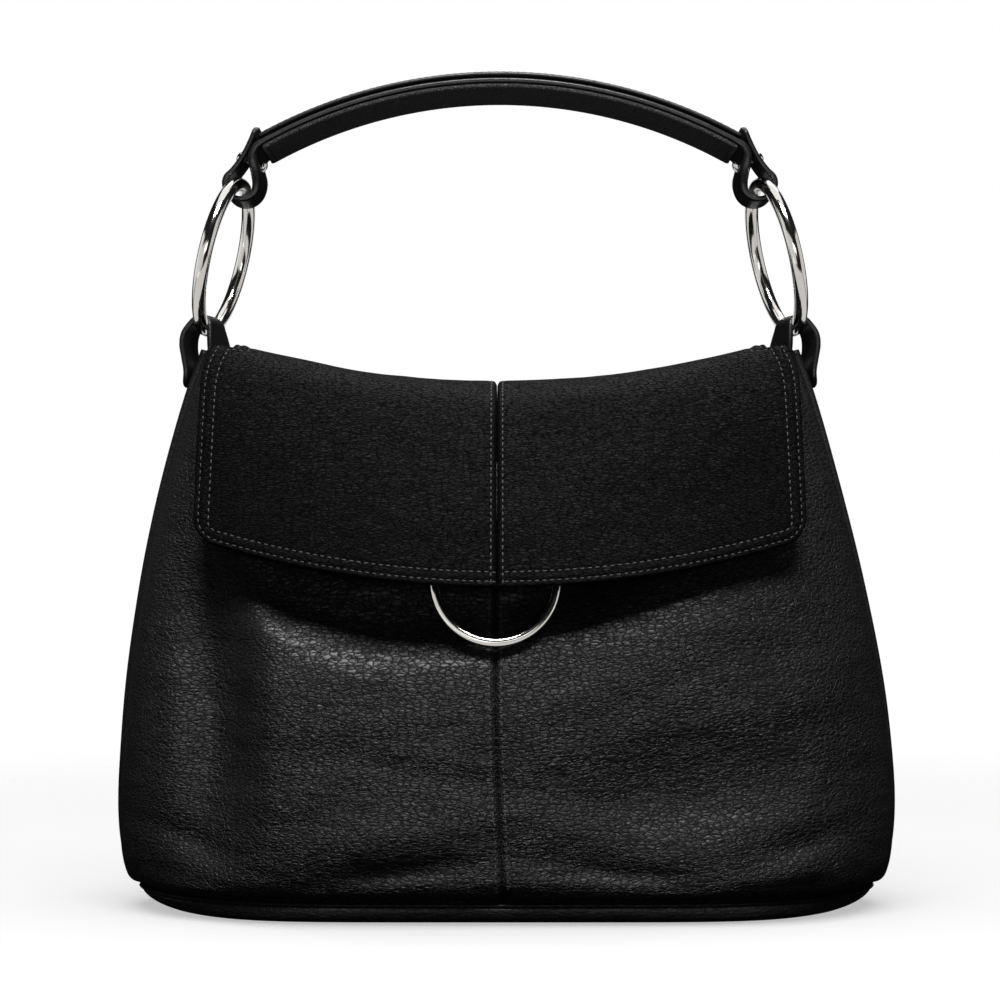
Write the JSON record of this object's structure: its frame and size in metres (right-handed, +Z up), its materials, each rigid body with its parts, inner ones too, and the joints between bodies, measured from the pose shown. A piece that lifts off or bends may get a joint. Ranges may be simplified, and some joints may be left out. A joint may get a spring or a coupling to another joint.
{
  "type": "flap shoulder bag",
  "caption": "Soft black leather shoulder bag with a front flap, a short arched handle on large metal rings, and a smaller pull ring hanging below the flap.",
  "frame": {"origin": "on the ground under the middle of the bag's bounding box", "axes": "+X to the bag's right as seen from the front, +Y from the front to the back, +Z up"},
  "size_m": [0.332, 0.1262, 0.3554],
  "materials": {
    "body_leather": "pebbled, soft sheen",
    "flap_leather": "fine pebbled, satin",
    "strap_leather": "smooth, satin",
    "nickel": "polished nickel"
  },
  "bodies": {
    "bag": {"base": "body_leather", "front_panel_left": "body_leather", "front_panel_right": "body_leather", "back_panel": "body_leather", "flap_left": "flap_leather", "flap_right": "flap_leather", "tab_left": "strap_leather", "tab_right": "strap_leather", "handle_strap": "strap_leather", "handle_cover": "strap_leather", "handle_underside": "strap_leather", "front_ring_tab": "strap_leather", "ring_left": "nickel", "ring_right": "nickel", "rivet_left": "nickel", "rivet_right": "nickel"},
    "front_ring": {"front_ring": "nickel"}
  },
  "joints": [
    {"name": "front_ring_swing", "type": "hinge", "parent": "bag", "child": "front_ring", "pos_m": [-0.0046, -0.04432, 0.16248], "axis": [-1, 0, 0], "range_deg": [0, 12]}
  ]
}
